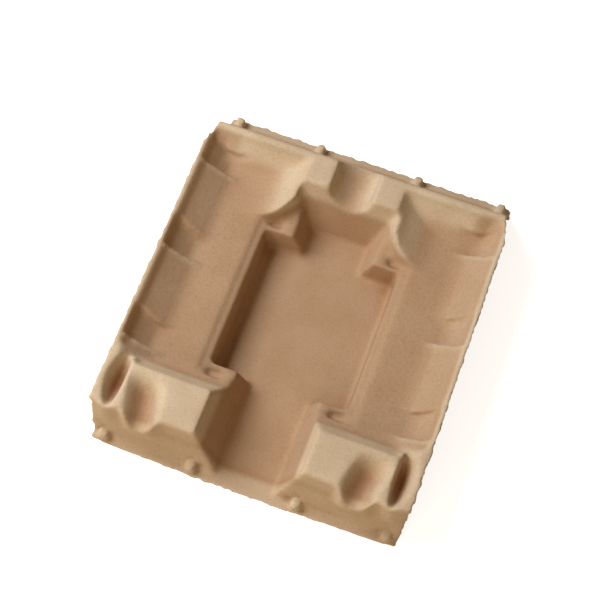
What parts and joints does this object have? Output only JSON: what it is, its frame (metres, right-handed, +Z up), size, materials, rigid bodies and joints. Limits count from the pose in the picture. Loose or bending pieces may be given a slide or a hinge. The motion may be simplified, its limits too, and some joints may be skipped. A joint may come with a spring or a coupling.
{
  "type": "moulded pulp bottle shipper insert",
  "caption": "Moulded pulp tray that cradles one bottle on its side, with a trough, a neck notch, cushioning side channels with pockets, and a flange along each end",
  "frame": {"origin": "centre of the tray's outline, at the underside of the end flanges", "axes": "X across the tray, +Y towards the neck end of the bottle, +Z up out of the open side"},
  "size_m": [0.242, 0.292, 0.05],
  "materials": {
    "pulp": "matte, fine fibrous grain"
  },
  "bodies": {
    "root": {"insert_tray": "pulp"}
  },
  "joints": []
}
